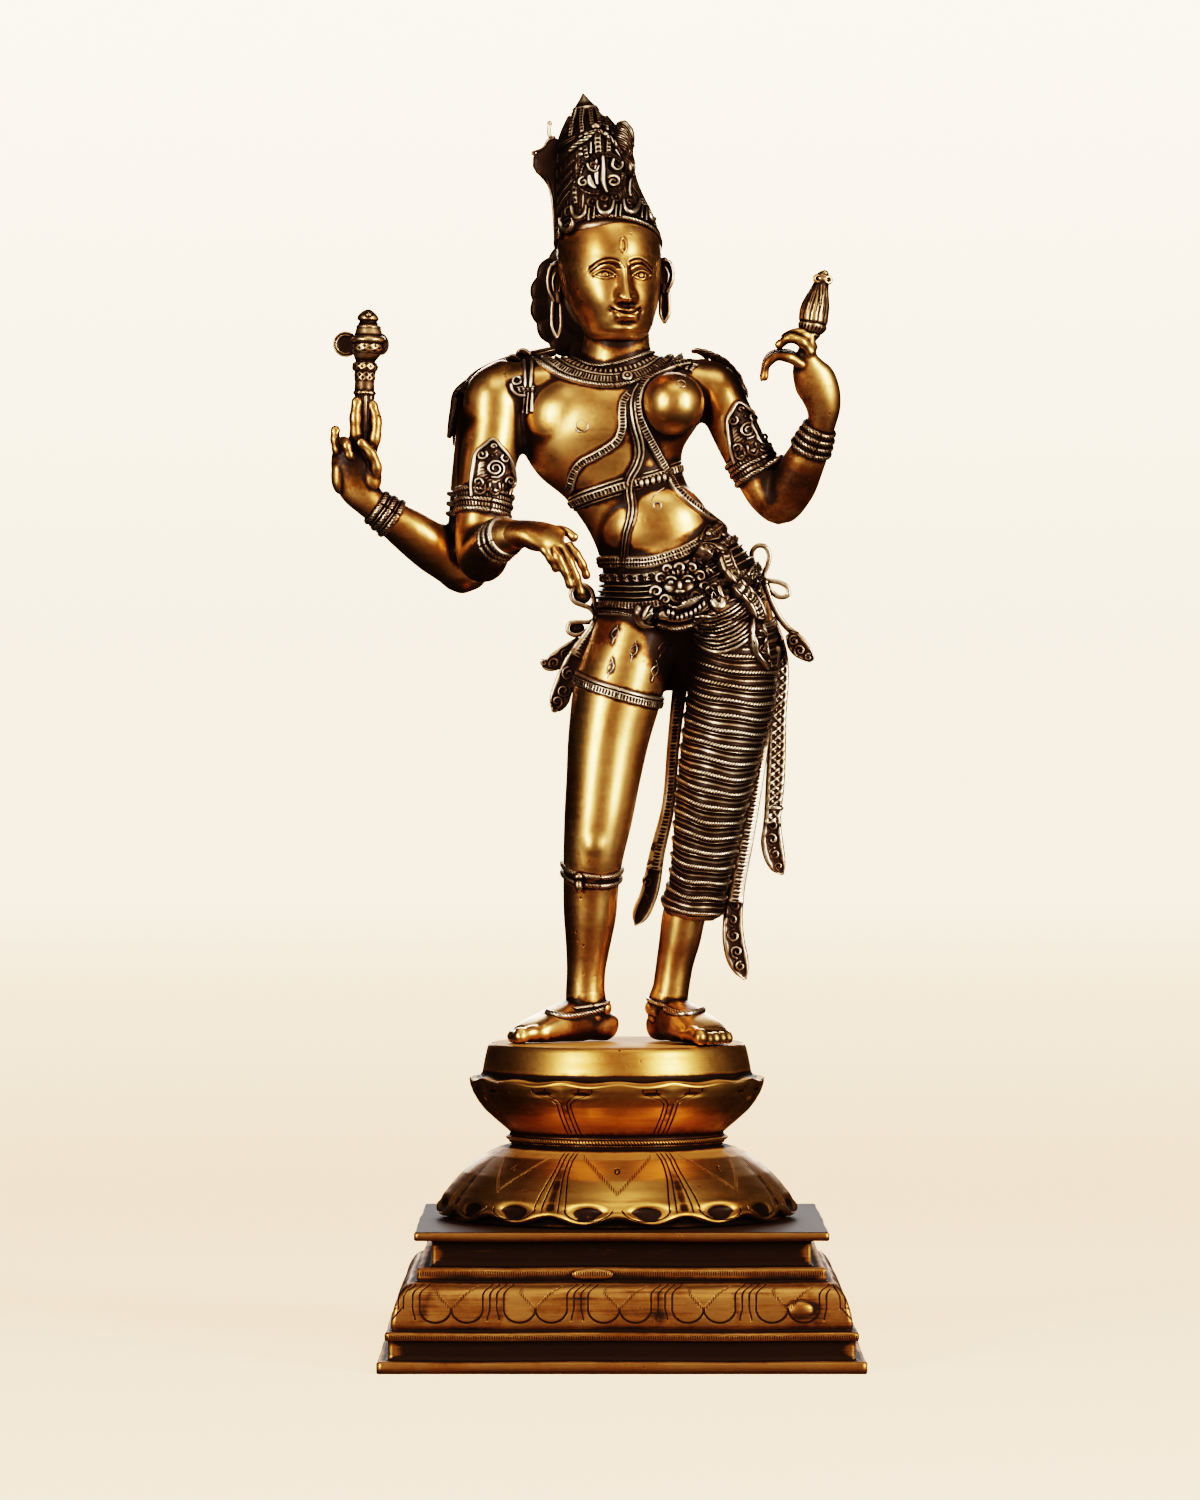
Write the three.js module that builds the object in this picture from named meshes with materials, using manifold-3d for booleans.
// A cast brass ardhanarishvara: a three-armed standing figure, its right half male and its left half
// female, on a round lotus pedestal and a square stepped plinth. Millimetres, +Z up. The figure faces
// -Y, its right hand is at -X, and the origin is the middle of the plinth's underside.
import * as THREE from "three";
import { mergeVertices } from "three/addons/utils/BufferGeometryUtils.js";
import Module from "manifold-3d";

const wasm = await Module();
wasm.setup();

// Driving dimensions
const PLINTH_WIDTH = 284;
const PLINTH_TOP = 80.5;
const PEDESTAL_TOP = 186;
const PEDESTAL_X = -2.5; // the round pedestal stands a little to the right of the plinth's middle
const CASTING_GAP = 0.3; // between castings that rest on each other
const SOLE = PEDESTAL_TOP + CASTING_GAP;
const PETALS = 8; // in each ring of the pedestal
const PLEATS = 15; // across the long skirt, from hip to hem
const PLEAT_RISE = 1.2;
const RING_RISE = 2.1; // of bracelets and other rings over the limb that wears them

const BRASS = new THREE.MeshStandardMaterial({ color: 0xb07a2c, roughness: 0.32, metalness: 1 });
const PEDESTAL_BRASS = new THREE.MeshStandardMaterial({ color: 0xa36d28, roughness: 0.34, metalness: 1 });
const PLINTH_BRASS = new THREE.MeshStandardMaterial({ color: 0x8a5a22, roughness: 0.4, metalness: 1 });

const { degToRad, lerp } = THREE.MathUtils;
const vec = (x, y, z) => new THREE.Vector3(x, y, z);
const UP = vec(0, 0, 1);
const BACK = vec(0, 1, 0);

// Outlines of a section, as unit points that run anticlockwise
const STRAP_SECTION = [[-1, -1], [1, -1], [1, 1], [-1, 1]];
const roundSection = (sides) =>
  Array.from({ length: sides }, (_, k) => {
    const turn = (2 * Math.PI * k) / sides;
    return [Math.cos(turn), Math.sin(turn)];
  });

function solid(positions, index) {
  const vertProperties = new Float32Array(positions);
  const triVerts = new Uint32Array(index);
  return new wasm.Manifold(new wasm.Mesh({ numProp: 3, vertProperties, triVerts }));
}

const join = (solids) => solids.reduce((all, next) => all.add(next));

// A three.js geometry as a solid, with its shared vertices merged
function fromGeometry(geometry) {
  geometry.deleteAttribute("normal");
  geometry.deleteAttribute("uv");
  const merged = mergeVertices(geometry, 1e-4);
  return solid(merged.attributes.position.array, merged.index.array);
}

// The faces between rings of the same count, with both ends closed by fans
function stackIndex(rings, count) {
  const index = [];
  for (let i = 0; i < rings - 1; i++) {
    for (let k = 0; k < count; k++) {
      const next = (k + 1) % count;
      const [low, high] = [i * count, (i + 1) * count];
      index.push(low + k, low + next, high + next);
      index.push(low + k, high + next, high + k);
    }
  }
  const last = (rings - 1) * count;
  for (let k = 1; k < count - 1; k++) {
    index.push(0, k + 1, k);
    index.push(last, last + k, last + k + 1);
  }
  return index;
}

// A closed skin through rings. A station is [x, y, z, half width, half depth]. Each ring stands square
// to facing where it is given, and otherwise to the line through the stations. The half depth lies
// along side.
function skin(stations, { sides = 8, section = roundSection(sides), side = BACK, facing = null } = {}) {
  const centres = stations.map(([x, y, z]) => vec(x, y, z));
  const positions = [];
  stations.forEach(([, , , halfWidth, halfDepth], i) => {
    const before = centres[Math.max(i - 1, 0)];
    const after = centres[Math.min(i + 1, centres.length - 1)];
    const along = facing ? facing.clone().normalize() : after.clone().sub(before).normalize();
    const depth = side.clone().addScaledVector(along, -side.dot(along)).normalize();
    const width = depth.clone().cross(along);
    for (const [u, v] of section) {
      const point = centres[i].clone();
      point.addScaledVector(width, u * halfWidth).addScaledVector(depth, v * halfDepth);
      positions.push(point.x, point.y, point.z);
    }
  });
  return solid(positions, stackIndex(stations.length, section.length));
}

// A flat cast strap, such as a sash or a lock of hair, whose face looks along side
const strap = (stations, side = BACK) => skin(stations, { section: STRAP_SECTION, side });

// A finger, toe or horn with a blunt tip, through points [x, y, z]
function rod(points, rootRadius, tipRadius, sides = 5) {
  const last = points.length - 1;
  const stations = points.map((point, i) => {
    const radius = lerp(rootRadius, tipRadius, i / last);
    return [...point, radius, radius];
  });
  const tip = vec(...points[last]);
  const onward = tip.clone().sub(vec(...points[last - 1])).setLength(tipRadius * 0.7);
  return skin([...stations, [...tip.add(onward), tipRadius * 0.5, tipRadius * 0.5]], { sides });
}

function ball(centre, radii, sides = 8, rings = 5) {
  const sphere = new THREE.SphereGeometry(1, sides, rings).rotateX(Math.PI / 2);
  return fromGeometry(sphere.scale(...radii).translate(...centre));
}

// A solid turned about an upright axis, from [radius, height] pairs that run upwards
function turned(profile, sides, { x = 0, y = 0 } = {}) {
  const closed = [[0, profile[0][1]], ...profile, [0, profile.at(-1)[1]]];
  const lathe = new THREE.LatheGeometry(closed.map(([r, h]) => new THREE.Vector2(r, h)), sides);
  return fromGeometry(lathe.rotateX(Math.PI / 2).translate(x, y, 0));
}

// The station at a share of the way from one station to the next, made wider by extra
const mix = (from, to, share, extra = 0) =>
  from.map((value, k) => lerp(value, to[k], share) + (k > 2 ? extra : 0));

// The stations of a raised ring worn on a limb, to stand among the limb's own
const worn = (from, to, rise = RING_RISE) => [
  from, mix(from, to, 0.06, rise), mix(from, to, 0.94, rise), to,
];

// The body
function torso() {
  const trunk = skin([
    [36, 5, 404, 34, 20], [37.4, 5, 416, 52, 31], [39.6, 3, 437, 52.8, 35], [37.8, 2, 457, 48, 33],
    [33, 1, 475, 45.6, 29], [24, 1, 490, 42.3, 25.5], [11.6, 2, 505, 39.6, 23.6], [-6, 2, 526, 43.8, 26],
    [-10.8, 0, 542, 48.2, 30], [-7.2, 0, 557, 53.4, 30], [-3, 1, 571, 56, 28], [-3, 3, 583, 52, 24],
    [-3, 4, 592, 42, 18],
  ], { sides: 12, facing: UP });
  const breast = ball([31, -27, 568], [18.6, 18, 18.6], 9, 6);
  const seat = [[12, 20, 445], [56, 18, 440]].map((centre) => ball(centre, [27, 26, 28], 7, 5));
  return join([trunk, breast, ...seat]);
}

// A foot from its heel. The heading is in degrees anticlockwise from +X as seen from above, and the
// great toe is on the side that bigToeSide gives: 1 for the left of the heading, -1 for its right.
function foot([heelX, heelY], heading, bigToeSide) {
  const turn = degToRad(heading);
  const forward = vec(Math.cos(turn), Math.sin(turn), 0);
  const inner = vec(-forward.y, forward.x, 0).multiplyScalar(bigToeSide);
  const at = (length, across, height) => [
    ...vec(heelX, heelY, SOLE + height).addScaledVector(forward, length).addScaledVector(inner, across),
  ];
  const sole = skin([
    [...at(-9, 0, 7), 7, 6.8], [...at(-2, 0, 9), 11.4, 8.9], [...at(10, 0, 13), 12.5, 12.9],
    [...at(34, 0, 8.5), 13.5, 8.4], [...at(51, 0, 4.5), 14, 4.4],
  ], { sides: 7, side: UP });
  const reaches = [64, 63.5, 61.5, 58.5, 55];
  const toes = reaches.map((reach, k) => {
    const across = 11 - 5.6 * k;
    const radius = k === 0 ? 3.4 : 2.7;
    return rod([at(46 - k, across, radius), at(reach, across, radius)], radius, radius, 4);
  });
  return join([sole, ...toes]);
}

// The right leg is bare below a short cloth with a raised hem, and wears a ring with a bell under the knee.
function rightLeg() {
  const leg = skin([
    [13, 2, 434, 26.4, 27], [4, -1, 409, 27.6, 28],
    ...worn([-0.2, -2, 400, 27.6, 28], [-2.6, -3, 389, 27.2, 27.6], 1.8),
    [-7.2, -5, 370, 24.6, 25.5], [-10.8, -8, 343, 22.2, 23], [-16.4, -11, 299, 18.2, 19.6],
    ...worn([-17.2, -10, 291, 17.6, 19], [-17.9, -8, 285, 17.2, 18.4]),
    [-18.6, -4, 264, 15.9, 17.5], [-20, -2, 242, 13, 15], [-21.4, -1, 222, 11.7, 12.4],
    [-20, 2, 190, 12.4, 14],
  ], { sides: 10 });
  const bell = ball([-18, -29, 279], [4, 3.5, 5], 5, 4);
  return join([leg, bell, foot([-14, 5], 215, 0.9)]);
}

// The left leg is under a long skirt of pleats that run round it, each one a ridge.
function leftLeg() {
  const skirt = [
    [67.2, 2, 436, 26.4, 32], [67.2, 0, 415, 27.3, 32], [66, -3, 394, 26.7, 31], [61.8, -6, 370, 24.9, 29],
    [57, -8, 346, 23.1, 27], [52.8, -8, 322, 21, 25], [49.8, -6, 301, 19.5, 23.5], [46.2, -4, 280, 18, 22],
    [41.4, -3, 261, 16.8, 20.5],
  ];
  const along = (share) => {
    const place = share * (skirt.length - 1);
    const i = Math.min(Math.floor(place), skirt.length - 2);
    return mix(skirt[i], skirt[i + 1], place - i);
  };
  const pleats = [];
  for (let k = 0; k < PLEATS; k++) {
    const ridge = along((k + 0.65) / PLEATS);
    pleats.push(along(k / PLEATS), mix(ridge, ridge, 0, PLEAT_RISE));
  }
  const leg = skin([
    ...pleats, along(1),
    [40.6, -3, 261, 13.6, 14.6], [35.4, -2, 248, 12.6, 13.5], [31.4, -1, 227, 11.2, 12],
    [26.6, 3, 190, 12, 13],
  ], { sides: 10 });
  return join([leg, foot([27, 5], 298, -1)]);
}

// The arms. Raised rings are worn at each wrist and each armlet, which has a plaque above it.
const armletPlaque = (centre, halfWidth, halfHeight) => ball(centre, [halfWidth, 6.5, halfHeight], 6, 4);

function rightArms() {
  const shoulder = skin([
    [-26, 4, 583, 12, 17], [-50, 3, 580, 15, 19], [-66, 2, 575, 17, 18], [-80, 4, 566, 13, 14],
  ]);
  // The front arm hangs, bends at the elbow and reaches forward, so its half widths lie front to back.
  const frontArm = skin([
    [-71, 2, 588, 8, 8], [-74.4, 0, 577, 17.5, 17.6], [-76.6, -3, 553, 17.4, 18], [-80, -8, 528, 16.4, 17.2],
    ...worn([-81.6, -10, 514, 15.6, 16.6], [-83, -12, 500, 15.2, 16]),
    [-84.4, -16, 485, 15, 15], [-83, -26, 475.5, 14.6, 14.6], [-79, -44, 479, 13.6, 13.6],
    ...worn([-74.6, -58, 483.6, 12, 12], [-68, -67, 487, 11, 11]),
    [-57, -74, 488, 9.6, 11.2], [-47, -76, 486.5, 8.4, 12], [-38, -75, 482.4, 7, 10], [-33, -74, 479, 5, 7],
  ], { side: vec(1, 0.7, 0.2) });
  const hanging = [
    [[-50, -79, 481.4], [-44.4, -83, 475], [-39, -82, 468.4]],
    [[-44, -80, 480], [-36.4, -83, 468], [-30.4, -81, 458.4]],
    [[-37, -78, 479], [-28.8, -80, 465], [-23.6, -77, 453.4]],
    [[-31, -73, 481], [-24, -75, 473], [-20.2, -73, 464]],
    [[-42, -70, 487], [-32.6, -66, 490], [-28.8, -67, 485]],
  ].map((points) => rod(points, 3.4, 2.6));
  const rearArm = skin([
    [-70, 8, 578, 14, 14], [-78, 8, 566, 18, 17], [-83, 10, 545, 16.6, 16.5], [-87.8, 12, 512, 15.4, 15.4],
    [-90, 13, 488, 14.4, 15], [-90.6, 13, 475, 13.6, 15], [-93.6, 12, 467, 12.6, 14.6],
    [-101, 10, 473.4, 14, 14.6], [-112, 6, 482, 15.2, 14.6],
    [-126, 0, 492, 14, 13],
    ...worn([-137, -3.6, 499.6, 11.6, 11.4], [-149, -6.4, 508, 10.4, 10]),
    [-156, -8, 516, 12, 8.6], [-160.4, -10, 529, 14, 7.4], [-161.4, -10, 539, 13, 6.6],
    [-160.6, -10, 546, 9, 5],
  ]);
  const raised = [
    [[-150, -12, 541], [-146.6, -14, 555], [-147, -13, 565]],
    [[-158, -13, 541], [-159.2, -16, 557], [-158.2, -15, 569]],
    [[-165, -13, 541], [-166, -18, 547], [-163.2, -20, 539]],
    [[-169, -11, 540], [-171.6, -13, 549], [-171.8, -13, 555]],
    [[-146, -12, 525], [-147, -16, 534], [-155, -18, 544]],
  ].map((points) => rod(points, 3.6, 2.7));
  return join([shoulder, frontArm, ...hanging, rearArm, ...raised, armletPlaque([-79, -23, 527], 12, 17)]);
}

function leftArm() {
  const shoulder = skin([
    [18, 4, 584, 10, 15], [40, 3, 583, 13.6, 17], [54, 2, 577, 14, 16], [64, 2, 568, 9, 12],
  ]);
  const arm = skin([
    [50, 3, 588, 8, 9], [56, 2, 580, 14.6, 16], [62.6, 1, 566, 14.4, 16], [71.4, 0, 547, 14.4, 15],
    ...worn([77.2, -1, 535.6, 14.2, 14.4], [83, -2, 525, 14, 14.2]),
    [89.2, -3.6, 513.6, 13, 14.4], [95.2, -6, 507.6, 12, 13.6], [101.6, -11, 517.6, 14.2, 14],
    [108.6, -18, 531.6, 13, 12.5],
    ...worn([113, -22.6, 540.4, 11.6, 11.4], [119, -30, 554.4, 9.6, 9.2]),
    [120.4, -33, 563, 9.6, 8.4], [117.2, -36, 574, 11, 8.2], [112.8, -39, 584, 10.2, 7],
    [109.4, -41, 589.6, 6.4, 4.6],
  ]);
  const curled = [0, 1, 2].map((k) => {
    const [y, z] = [-48 + 6 * k, 587.4 + k];
    return rod([[107, y + 4, z], [92.8, y, z + 1], [85.2, y, z - 4], [84.4, y, z - 9]], 3.4, 2.3);
  });
  const holding = [
    [[111.6, -42, 589.6], [104.8, -47, 598.4], [93.8, -48, 599.4]],
    [[117.6, -39, 584], [116, -44, 592.6], [111.6, -47, 597.4]],
  ].map((points) => rod(points, 3.7, 2.8));
  return join([shoulder, arm, ...curled, ...holding, armletPlaque([74.6, -15, 543], 10, 15)]);
}

// The head, with pendant ears, a wheel behind it and a tall crown of piled hair
function head() {
  const skull = skin([
    [-3, 2, 586, 26, 23], [-3, 1, 597, 21.6, 20], [-2.6, 0, 608, 19.8, 19], [-2.4, -5, 613, 19.6, 22],
    [-3.4, -8.4, 618, 21.4, 24.6], [-5, -6, 626, 25.2, 27.5], [-6, -4, 636, 28.8, 31],
    [-6.8, -2, 652, 31, 33.4],
  ], { sides: 11, facing: UP });
  const nose = skin([
    [3.2, -33, 652, 2.6, 3], [5.2, -38.6, 637, 4.6, 4.2], [5, -35.5, 633, 4, 3],
  ], { sides: 5 });
  const ear = (x, y, top, length) => skin([
    [x, y, top, 3.4, 4], [x, y, top - 0.22 * length, 5, 6], [x, y, top - 0.58 * length, 2.8, 4],
    [x, y - 1, top - 0.8 * length, 4.2, 4.4], [x, y - 1, top - length, 1.6, 1.6],
  ], { sides: 6 });
  const ears = [ear(-37.4, 1, 652, 44), ear(24.4, -4, 655, 38)];
  const wheel = skin([
    [-10, 20, 636, 18, 20], [-18.6, 30, 633.6, 17, 19], [-19, 31, 633, 33, 36], [-20.4, 36, 633, 35.5, 38.5],
    [-21.8, 41, 633, 31, 34],
  ], { sides: 12, side: UP, facing: vec(-0.13, 0.99, 0) });
  return join([skull, nose, ...ears, wheel, crown()]);
}

function crown() {
  const tower = skin([
    [-7.2, 3, 648, 31.4, 32.6], [-7.8, 2, 664, 34.2, 35.6], [-8.6, 2, 677, 33, 34], [-11, 3, 686, 29.4, 31],
    [-14.6, 4, 697, 26, 27], [-16.8, 4, 725, 22.8, 23.6], [-18.2, 4, 736, 16.6, 17.4], [-21, 4, 745, 8.6, 9],
    [-22, 4, 748.4, 5.6, 6], [-22.8, 4, 755.6, 1, 1],
  ], { sides: 11, facing: UP });
  const knobs = [0, 1, 2, 3, 4].map((k) => {
    const turn = degToRad(-142 + 24 * k);
    return ball([-8.4 + 33 * Math.cos(turn), 2 + 34 * Math.sin(turn), 679], [5, 5, 6], 5, 3);
  });
  const medallion = ball([-12, -24, 708], [11.5, 7, 17], 6, 4);
  const leftCoil = ball([0, -2, 723], [7, 9, 12], 6, 4);
  const horns = [
    rod([[-36, 3, 702], [-46, 2, 713], [-50.5, 2, 719]], 3.6, 1.6),
    rod([[-34, 3, 712], [-43, 3, 724], [-44, 3, 736.5]], 4, 1.5),
  ];
  return join([tower, ...knobs, medallion, leftCoil, ...horns]);
}

// Locks of hair lie over the left shoulder and fan out behind both
function hairLocks() {
  const fan = ([x, y, z], ends) => ends.map(([endX, endY, endZ]) => {
    const bend = [(x + endX) / 2, (y + endY) / 2, (z + endZ) / 2 + 4, 5, 3];
    return strap([[x, y, z, 3, 3], bend, [endX, endY, endZ, 2, 1.6]]);
  });
  const overShoulder = strap([
    [16, 8, 604, 4, 4], [38, 7, 602, 5, 4], [56, 7, 592, 5, 3.6], [68, 7, 577, 4.4, 3], [75, 7, 562, 2, 2],
  ]);
  return join([
    overShoulder,
    ...fan([-40, 15, 588], [[-102, 15, 552], [-96, 22, 556]]),
    ...fan([34, 15, 590], [[70, 18, 558]]),
  ]);
}

// The collar, the belts, their clasp and the festoon under it
function jewellery() {
  const collar = skin([
    [-1, -2, 575.5, 43, 30], [-2, 0, 583, 42.5, 31], [-2.4, 1, 592, 33, 25], [-2.6, 1, 600, 23.5, 21.5],
  ], { sides: 12, facing: UP });
  const waistBelt = skin([
    [7.4, 1.5, 513.2, 36, 26.8], [4.8, 1.5, 521, 36.2, 27.6],
  ], { sides: 12, facing: vec(-0.34, 0, 1) });
  const hipBelt = skin([
    [36.6, 3, 443, 54, 38.2], [36.4, 2.6, 453, 53, 37.6], [36.2, 2.4, 455, 50.6, 35.4], [36, 2, 458, 52, 36.8],
    [35.4, 2, 468, 49, 35.4], [35, 2, 470.5, 46, 33], [34.4, 2, 473, 47, 34], [32.6, 2, 483, 42.8, 32],
  ], { sides: 12, facing: vec(-0.24, 0, 1) });
  const clasp = ball([36, -37, 459], [19, 6, 13]);
  const festoon = rod([[16, -33, 452], [28, -39, 441], [44, -40, 441], [60, -33, 455]], 4, 3);
  return join([collar, waistBelt, hipBelt, clasp, festoon]);
}

// A loop of rolled cloth that stands out from a knot, open in the middle
function bowLoop([x, y, z], halfWidth, halfHeight) {
  const tube = 0.2;
  const torus = new THREE.TorusGeometry(1 - tube, tube, 4, 8).rotateX(Math.PI / 2);
  return fromGeometry(torus.scale(halfWidth, 10, halfHeight).translate(x, y, z));
}

// The cast sashes: a bow with hanging ends on each hip, an end between the legs, two long ends at the
// left and a curling end over the left thigh
function sashes() {
  const overThigh = strap([
    [44, -36, 476, 3.6, 2.4], [51, -38, 480, 3.6, 2.4], [60, -38, 477, 3.6, 2.4], [64, -37, 467, 3.6, 2.4],
    [71, -36, 456, 3.6, 2.4], [78, -34, 447, 3.8, 2.4], [81.5, -32, 436, 4.6, 2.4], [82, -31, 421, 5.4, 2.4],
    [86, -29, 411, 3, 2],
  ]);
  const leftKnot = [
    bowLoop([84.4, 4, 471.4], 7.2, 13),
    bowLoop([93.4, 4, 457], 11, 6.4),
    strap([[82, 4, 458, 5, 3], [100, 2, 432, 5, 3], [108, 1, 421, 6.4, 3], [114, 1, 415, 3.4, 2]]),
  ];
  const rightKnot = [
    bowLoop([-21.6, 6, 452], 10, 9),
    bowLoop([-25, 6, 434.5], 11, 6.6),
    strap([
      [-6, 5, 446, 6, 3], [-21, 6, 428, 6.5, 3], [-30, 6, 411, 7.5, 3], [-36, 6, 395, 6.5, 3],
      [-37, 6, 386, 4, 2.4],
    ]),
    strap([[-20, 8, 430, 5, 2.6], [-34, 8, 419, 5.4, 2.6], [-48, 8, 412, 2.4, 2]]),
  ];
  const betweenLegs = strap([
    [40, 6, 428, 5, 3], [35, 9, 395, 4.4, 3], [31.6, 9, 365, 3.6, 3], [28, 9, 325, 4, 3], [22, 9, 300, 4.6, 3],
    [16, 8, 272, 5, 3], [8.6, 7, 255.4, 2, 2],
  ]);
  const hipToHem = strap([
    [91, 6, 424, 5.4, 3.4], [80.6, 2, 345, 5, 3.4], [68.6, 0, 275, 5.4, 3.4], [67, -1, 250, 6.4, 3.2],
    [70, -1, 234, 6, 3], [74.4, -1, 223.4, 2.4, 2],
  ]);
  const outerEnd = strap([
    [88, 14, 440, 5, 3], [94.6, 14, 420, 5, 3], [92.6, 12, 340, 5.4, 3], [90.4, 11, 312, 5.6, 3],
    [96.4, 9, 290, 2.6, 2],
  ]);
  return join([overThigh, ...leftKnot, ...rightKnot, betweenLegs, hipToHem, outerEnd]);
}

// What the raised hands hold: an axe on a netted shaft, and a lotus bud
function axe() {
  const boss = turned([
    [5.4, 541], [5.9, 571], [6.8, 574], [6, 577], [6, 588], [6.8, 591], [6, 594], [8.6, 599], [8.4, 606],
    [4.4, 618], [2, 625],
  ], 7, { x: -152.6, y: -11 });
  const blade = skin([[-155, -10, 604, 5, 2], [-169.6, -10, 603.6, 7.4, 1.6]], { sides: 6 });
  const spur = skin([[-150, -11, 604.5, 5, 2.4], [-141.4, -11, 603.6, 3.6, 2]], { sides: 6 });
  return join([boss, blade, spur]);
}

const lotusBud = () => skin([
  [111.6, -43.5, 591.4, 3.4, 3.4], [112.8, -43, 601, 3.6, 3.6], [114, -43, 609, 7.2, 7.2],
  [115, -43, 615, 8.6, 8.6], [116, -43, 623, 7.8, 7.8], [117.6, -43, 638, 4.6, 4.6], [118, -43, 642, 1.6, 1.6],
], { sides: 8 });

// The pedestal: a skirt of drooping petals, a corded neck, a cup of upright petals and a drum.
// Each row is [radius, height, swell of each petal, rise of the petals' edge at its ends].
function pedestal() {
  const rows = [
    [100, PLINTH_TOP + CASTING_GAP, 0, 0], [101, 84, 0, 0],
    [106, 84.8, 3.4, 2.4], [107.6, 88, 3.4, 2], [97.6, 102, 3, 0], [84.6, 114.4, 2.4, 0], [71, 123, 1.4, 0],
    [64, 125.4, 0, 0], [66.6, 128.4, 0, 0], [64, 132, 0, 0], [78, 145.4, 2, 0], [85.4, 156, 2.4, 0],
    [87.6, 163.6, 2.4, 1.2], [81, 168, 0, 0], [77.6, 183, 0, 0], [74.6, PEDESTAL_TOP, 0, 0],
  ];
  const sides = PETALS * 4;
  const positions = rows.flatMap(([radius, height, swell, rise]) =>
    Array.from({ length: sides }, (_, k) => {
      const turn = (2 * Math.PI * k) / sides;
      const petal = Math.abs(Math.sin((PETALS * turn) / 2)) - 0.64;
      const reach = radius + swell * petal;
      return [PEDESTAL_X + reach * Math.cos(turn), reach * Math.sin(turn), height - rise * petal];
    }).flat(),
  );
  return solid(positions, stackIndex(rows.length, sides));
}

// The plinth: square mouldings, each row [inset from the plinth's side, height]
function plinth() {
  const bottomSlab = [[0.8, 0], [0, 0.8], [0, 6], [0.8, 6.7]];
  const recess = [[6.4, 7.4], [6.4, 18]];
  const lowerFillet = [[5, 18.8], [5, 23], [6.6, 23.8]];
  const lotusMoulding = [[8, 27], [9, 33], [10.4, 40], [13.2, 46], [18.5, 51]];
  const upperFillet = [[23.5, 51.8], [23, 58.8], [25, 59.4]];
  const die = [[31.2, 60], [31.2, 74.4]];
  const topSlab = [[21.6, 75.2], [21.2, 76], [21.2, 79.8], [22, PLINTH_TOP]];
  const rows = [bottomSlab, recess, lowerFillet, lotusMoulding, upperFillet, die, topSlab].flat();
  const stations = rows.map(([inset, height]) => {
    const halfWidth = PLINTH_WIDTH / 2 - inset;
    return [0, 0, height, halfWidth, halfWidth];
  });
  return skin(stations, { section: STRAP_SECTION, facing: UP });
}

function meshOf(casting, name, material) {
  const { numProp, numVert, vertProperties, triVerts } = casting.getMesh();
  const positions = new Float32Array(numVert * 3);
  for (let i = 0; i < numVert; i++) {
    positions.set(vertProperties.subarray(i * numProp, i * numProp + 3), i * 3);
  }
  const geometry = new THREE.BufferGeometry();
  geometry.setAttribute("position", new THREE.BufferAttribute(positions, 3));
  geometry.setIndex(new THREE.BufferAttribute(triVerts, 1));
  const mesh = new THREE.Mesh(geometry, material);
  mesh.name = name;
  return mesh;
}

// The figure is one casting, with its arms, crown, sashes and what it holds.
const figure = join([
  torso(), rightLeg(), leftLeg(), rightArms(), leftArm(), head(), hairLocks(), jewellery(), sashes(), axe(),
  lotusBud(),
]);

const statue = new THREE.Group();
statue.add(meshOf(figure, "figure", BRASS));
statue.add(meshOf(pedestal(), "lotus_pedestal", PEDESTAL_BRASS));
statue.add(meshOf(plinth(), "square_plinth", PLINTH_BRASS));

export default statue;
